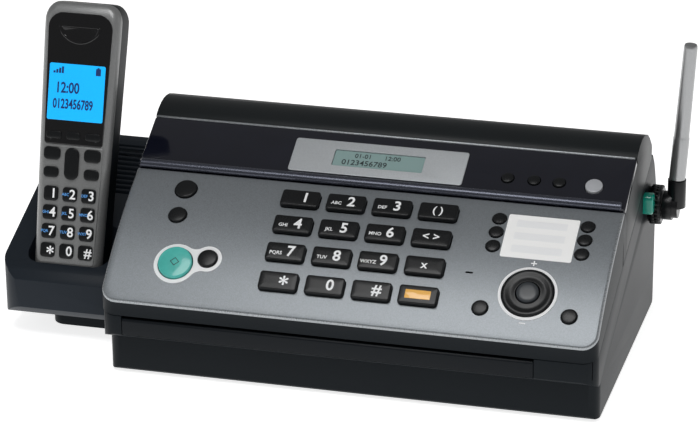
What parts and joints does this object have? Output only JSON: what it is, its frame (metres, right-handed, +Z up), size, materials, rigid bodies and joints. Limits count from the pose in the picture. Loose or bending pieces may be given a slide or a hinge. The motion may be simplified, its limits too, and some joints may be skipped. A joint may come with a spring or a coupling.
{
  "type": "fax machine",
  "caption": "Desktop fax machine with a sloping keypad panel, display strip, lifting top cover, cordless handset in a side cradle and a swivelling antenna.",
  "frame": {"origin": "middle of the bounding box, on the table under the foot rails", "axes": "+X to the user's right along the machine's width, +Y from the keypad's front edge to the back, +Z up"},
  "size_m": [0.3902, 0.1766, 0.1889],
  "materials": {
    "case_black": "fine moulded texture",
    "satin_black": "satin",
    "panel_grey": "metallic grey lacquer",
    "gloss_navy": "high gloss",
    "display_grey": "clear window over a liquid crystal display",
    "key_black": "satin",
    "start_green": "satin",
    "set_grey": "satin",
    "pale_grey": "translucent",
    "teal": "gloss",
    "handset_silver": "metallic lacquer",
    "handset_black": "satin",
    "screen_blue": "backlit",
    "cradle_slate": "fine moulded texture",
    "antenna_metal": "satin metallic lacquer",
    "rubber": "matte",
    "steel": "plated",
    "board_green": "solder mask",
    "paper_white": "thermal paper"
  },
  "bodies": {
    "base": {"lower_case": "case_black", "document_exit_guide": "case_black", "foot_rail_front": "rubber", "foot_rail_rear": "rubber", "cradle_wing": "cradle_slate", "cradle_foot": "case_black", "antenna_base": "key_black", "chassis": "steel", "image_sensor": "key_black", "main_board": "board_green", "drive_motor": "steel", "thermal_head": "steel"},
    "upper_unit": {"operation_panel": "panel_grey", "display_strip": "gloss_navy", "display_lens": "display_grey", "top_cover": "satin_black"},
    "handset": {"handset_front": "handset_silver", "handset_back": "handset_black", "handset_screen": "screen_blue", "handset_keymat": "key_black"},
    "antenna": {"antenna_elbow": "key_black", "antenna_rod": "antenna_metal"},
    "release": {"release_button": "teal"},
    "platen": {"platen_roller": "rubber"},
    "feeder": {"feed_roller": "rubber"},
    "paper": {"paper_roll": "paper_white"},
    "key_1_1": {"key_1_1": "key_black"},
    "key_1_2": {"key_1_2": "key_black"},
    "key_1_3": {"key_1_3": "key_black"},
    "key_1_4": {"key_1_4": "key_black"},
    "key_2_1": {"key_2_1": "key_black"},
    "key_2_2": {"key_2_2": "key_black"},
    "key_2_3": {"key_2_3": "key_black"},
    "key_2_4": {"key_2_4": "key_black"},
    "key_3_1": {"key_3_1": "key_black"},
    "key_3_2": {"key_3_2": "key_black"},
    "key_3_3": {"key_3_3": "key_black"},
    "key_3_4": {"key_3_4": "key_black"},
    "key_4_1": {"key_4_1": "key_black"},
    "key_4_2": {"key_4_2": "key_black"},
    "key_4_3": {"key_4_3": "key_black"},
    "key_4_4": {"key_4_4": "key_black"},
    "caller_id_button": {"caller_id_button": "key_black"},
    "stop_button": {"stop_button": "key_black"},
    "start_button": {"start_button": "start_green"},
    "copy_button": {"copy_button": "key_black"},
    "locator_button": {"locator_button": "key_black"},
    "menu_button": {"menu_button": "key_black"},
    "one_touch_1_left": {"one_touch_1_left": "key_black"},
    "one_touch_1_right": {"one_touch_1_right": "key_black"},
    "one_touch_2_left": {"one_touch_2_left": "key_black"},
    "one_touch_2_right": {"one_touch_2_right": "key_black"},
    "one_touch_3_left": {"one_touch_3_left": "key_black"},
    "one_touch_3_right": {"one_touch_3_right": "key_black"},
    "volume_ring": {"volume_ring": "key_black"},
    "set_button": {"set_button": "set_grey"},
    "record_button": {"record_button": "key_black"},
    "erase_button": {"erase_button": "key_black"},
    "playback_button": {"playback_button": "key_black"},
    "auto_answer_button": {"auto_answer_button": "pale_grey"}
  },
  "joints": [
    {"name": "cover_hinge", "type": "hinge", "parent": "base", "child": "upper_unit", "pos_m": [0.0257, 0.0746, 0.0992], "axis": [-1, 0, 0], "range_deg": [0, 55]},
    {"name": "handset_lift", "type": "slide", "parent": "base", "child": "handset", "axis": [0, 0.309, 0.9511], "range_m": [0, 0.12]},
    {"name": "antenna_swivel", "type": "hinge", "parent": "base", "child": "antenna", "pos_m": [0.1828, 0.0666, 0.0732], "axis": [1, 0, 0], "range_deg": [-90, 90]},
    {"name": "release_push", "type": "slide", "parent": "base", "child": "release", "axis": [-1, 0, 0], "range_m": [0, 0.003], "stiffness_N_per_m": 300},
    {"name": "platen_spin", "type": "hinge", "parent": "base", "child": "platen", "pos_m": [0.0257, 0.0126, 0.0552], "axis": [1, 0, 0], "continuous": true},
    {"name": "feed_spin", "type": "hinge", "parent": "base", "child": "feeder", "pos_m": [0.0257, -0.0534, 0.0292], "axis": [1, 0, 0], "continuous": true},
    {"name": "paper_spin", "type": "hinge", "parent": "base", "child": "paper", "pos_m": [0.0257, 0.0426, 0.0372], "axis": [1, 0, 0], "continuous": true},
    {"name": "key_1_1_press", "type": "slide", "parent": "upper_unit", "child": "key_1_1", "axis": [0, 0.4524, -0.8918], "range_m": [0, 0.0015], "stiffness_N_per_m": 200},
    {"name": "key_1_2_press", "type": "slide", "parent": "upper_unit", "child": "key_1_2", "axis": [0, 0.4524, -0.8918], "range_m": [0, 0.0015], "stiffness_N_per_m": 200},
    {"name": "key_1_3_press", "type": "slide", "parent": "upper_unit", "child": "key_1_3", "axis": [0, 0.4524, -0.8918], "range_m": [0, 0.0015], "stiffness_N_per_m": 200},
    {"name": "key_1_4_press", "type": "slide", "parent": "upper_unit", "child": "key_1_4", "axis": [0, 0.4524, -0.8918], "range_m": [0, 0.0015], "stiffness_N_per_m": 200},
    {"name": "key_2_1_press", "type": "slide", "parent": "upper_unit", "child": "key_2_1", "axis": [0, 0.5137, -0.858], "range_m": [0, 0.0015], "stiffness_N_per_m": 200},
    {"name": "key_2_2_press", "type": "slide", "parent": "upper_unit", "child": "key_2_2", "axis": [0, 0.5137, -0.858], "range_m": [0, 0.0015], "stiffness_N_per_m": 200},
    {"name": "key_2_3_press", "type": "slide", "parent": "upper_unit", "child": "key_2_3", "axis": [0, 0.5137, -0.858], "range_m": [0, 0.0015], "stiffness_N_per_m": 200},
    {"name": "key_2_4_press", "type": "slide", "parent": "upper_unit", "child": "key_2_4", "axis": [0, 0.5137, -0.858], "range_m": [0, 0.0015], "stiffness_N_per_m": 200},
    {"name": "key_3_1_press", "type": "slide", "parent": "upper_unit", "child": "key_3_1", "axis": [0, 0.5729, -0.8197], "range_m": [0, 0.0015], "stiffness_N_per_m": 200},
    {"name": "key_3_2_press", "type": "slide", "parent": "upper_unit", "child": "key_3_2", "axis": [0, 0.5729, -0.8197], "range_m": [0, 0.0015], "stiffness_N_per_m": 200},
    {"name": "key_3_3_press", "type": "slide", "parent": "upper_unit", "child": "key_3_3", "axis": [0, 0.5729, -0.8197], "range_m": [0, 0.0015], "stiffness_N_per_m": 200},
    {"name": "key_3_4_press", "type": "slide", "parent": "upper_unit", "child": "key_3_4", "axis": [0, 0.5729, -0.8197], "range_m": [0, 0.0015], "stiffness_N_per_m": 200},
    {"name": "key_4_1_press", "type": "slide", "parent": "upper_unit", "child": "key_4_1", "axis": [0, 0.629, -0.7774], "range_m": [0, 0.0015], "stiffness_N_per_m": 200},
    {"name": "key_4_2_press", "type": "slide", "parent": "upper_unit", "child": "key_4_2", "axis": [0, 0.629, -0.7774], "range_m": [0, 0.0015], "stiffness_N_per_m": 200},
    {"name": "key_4_3_press", "type": "slide", "parent": "upper_unit", "child": "key_4_3", "axis": [0, 0.629, -0.7774], "range_m": [0, 0.0015], "stiffness_N_per_m": 200},
    {"name": "key_4_4_press", "type": "slide", "parent": "upper_unit", "child": "key_4_4", "axis": [0, 0.629, -0.7774], "range_m": [0, 0.0015], "stiffness_N_per_m": 200},
    {"name": "caller_id_press", "type": "slide", "parent": "upper_unit", "child": "caller_id_button", "axis": [0, 0.4512, -0.8924], "range_m": [0, 0.001], "stiffness_N_per_m": 200},
    {"name": "stop_press", "type": "slide", "parent": "upper_unit", "child": "stop_button", "axis": [0, 0.5128, -0.8585], "range_m": [0, 0.001], "stiffness_N_per_m": 200},
    {"name": "start_press", "type": "slide", "parent": "upper_unit", "child": "start_button", "axis": [0, 0.6122, -0.7907], "range_m": [0, 0.001], "stiffness_N_per_m": 200},
    {"name": "copy_press", "type": "slide", "parent": "upper_unit", "child": "copy_button", "axis": [0, 0.5978, -0.8017], "range_m": [0, 0.001], "stiffness_N_per_m": 200},
    {"name": "locator_press", "type": "slide", "parent": "upper_unit", "child": "locator_button", "axis": [0, 0.6374, -0.7706], "range_m": [0, 0.001], "stiffness_N_per_m": 200},
    {"name": "menu_press", "type": "slide", "parent": "upper_unit", "child": "menu_button", "axis": [0, 0.6374, -0.7706], "range_m": [0, 0.001], "stiffness_N_per_m": 200},
    {"name": "one_touch_1_left_press", "type": "slide", "parent": "upper_unit", "child": "one_touch_1_left", "axis": [0, 0.45, -0.893], "range_m": [0, 0.0008], "stiffness_N_per_m": 200},
    {"name": "one_touch_1_right_press", "type": "slide", "parent": "upper_unit", "child": "one_touch_1_right", "axis": [0, 0.45, -0.893], "range_m": [0, 0.0008], "stiffness_N_per_m": 200},
    {"name": "one_touch_2_left_press", "type": "slide", "parent": "upper_unit", "child": "one_touch_2_left", "axis": [0, 0.4821, -0.8761], "range_m": [0, 0.0008], "stiffness_N_per_m": 200},
    {"name": "one_touch_2_right_press", "type": "slide", "parent": "upper_unit", "child": "one_touch_2_right", "axis": [0, 0.4821, -0.8761], "range_m": [0, 0.0008], "stiffness_N_per_m": 200},
    {"name": "one_touch_3_left_press", "type": "slide", "parent": "upper_unit", "child": "one_touch_3_left", "axis": [0, 0.5137, -0.858], "range_m": [0, 0.0008], "stiffness_N_per_m": 200},
    {"name": "one_touch_3_right_press", "type": "slide", "parent": "upper_unit", "child": "one_touch_3_right", "axis": [0, 0.5137, -0.858], "range_m": [0, 0.0008], "stiffness_N_per_m": 200},
    {"name": "volume_ring_press", "type": "slide", "parent": "upper_unit", "child": "volume_ring", "axis": [0, 0.6027, -0.798], "range_m": [0, 0.001], "stiffness_N_per_m": 200},
    {"name": "set_press", "type": "slide", "parent": "upper_unit", "child": "set_button", "axis": [0, 0.6027, -0.798], "range_m": [0, 0.001], "stiffness_N_per_m": 200},
    {"name": "record_press", "type": "slide", "parent": "upper_unit", "child": "record_button", "axis": [0, 0.4543, -0.8909], "range_m": [0, 0.0008], "stiffness_N_per_m": 200},
    {"name": "erase_press", "type": "slide", "parent": "upper_unit", "child": "erase_button", "axis": [0, 0.4543, -0.8909], "range_m": [0, 0.0008], "stiffness_N_per_m": 200},
    {"name": "playback_press", "type": "slide", "parent": "upper_unit", "child": "playback_button", "axis": [0, 0.4543, -0.8909], "range_m": [0, 0.0008], "stiffness_N_per_m": 200},
    {"name": "auto_answer_press", "type": "slide", "parent": "upper_unit", "child": "auto_answer_button", "axis": [0, 0.4543, -0.8909], "range_m": [0, 0.0008], "stiffness_N_per_m": 200}
  ],
  "couplings": [
    {"joint": "feed_spin", "follows": "platen_spin", "ratio": 1.1429}
  ]
}
